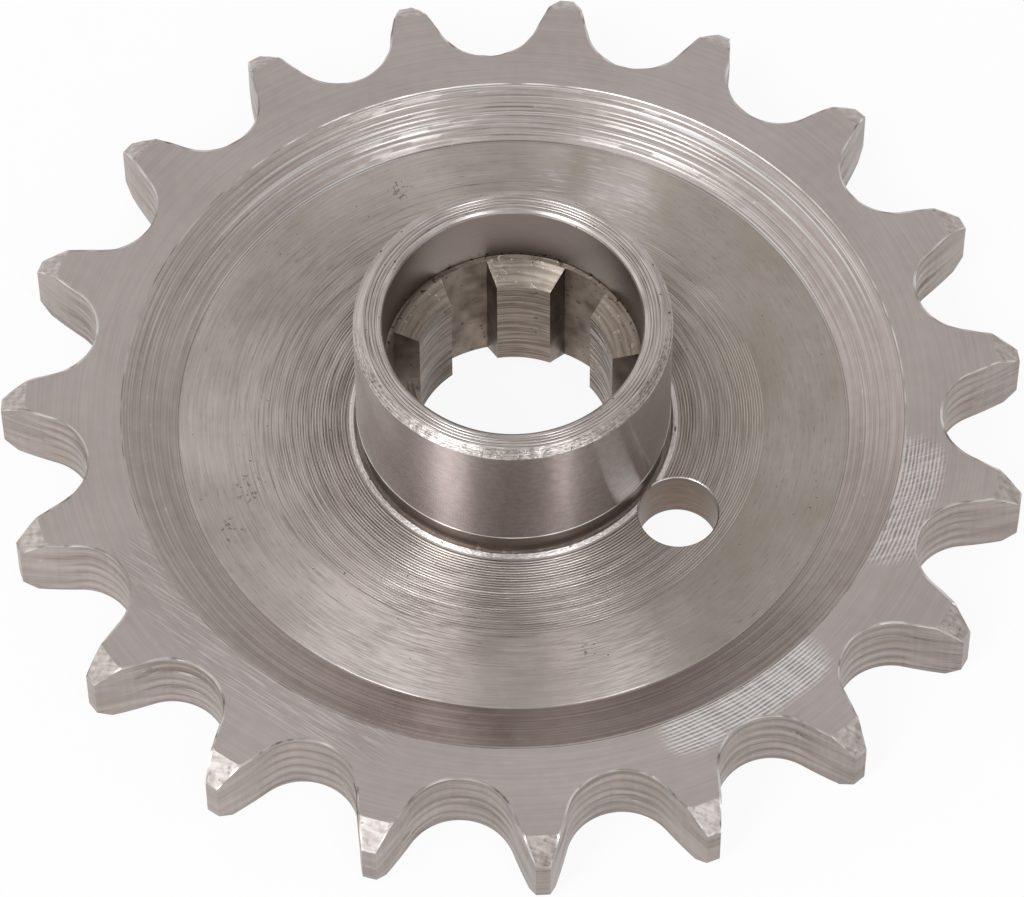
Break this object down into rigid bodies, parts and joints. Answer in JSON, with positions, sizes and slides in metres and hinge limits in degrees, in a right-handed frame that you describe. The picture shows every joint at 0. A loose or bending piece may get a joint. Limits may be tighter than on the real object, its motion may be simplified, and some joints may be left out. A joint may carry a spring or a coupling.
{
  "type": "chain sprocket",
  "caption": "Steel roller-chain drive sprocket with a recessed web, a ground counterbored hub, a splined bore and a small locking hole.",
  "frame": {"origin": "on the sprocket's axis, at its flat back face", "axes": "+Z along the axis from the back face to the hub's end; -Y through the tip of one tooth; +Y through the middle of the gap opposite"},
  "size_m": [0.0824, 0.082, 0.0193],
  "materials": {
    "machined_steel": "turned, milled and ground bare steel"
  },
  "bodies": {
    "root": {"sprocket": "machined_steel"}
  },
  "joints": []
}
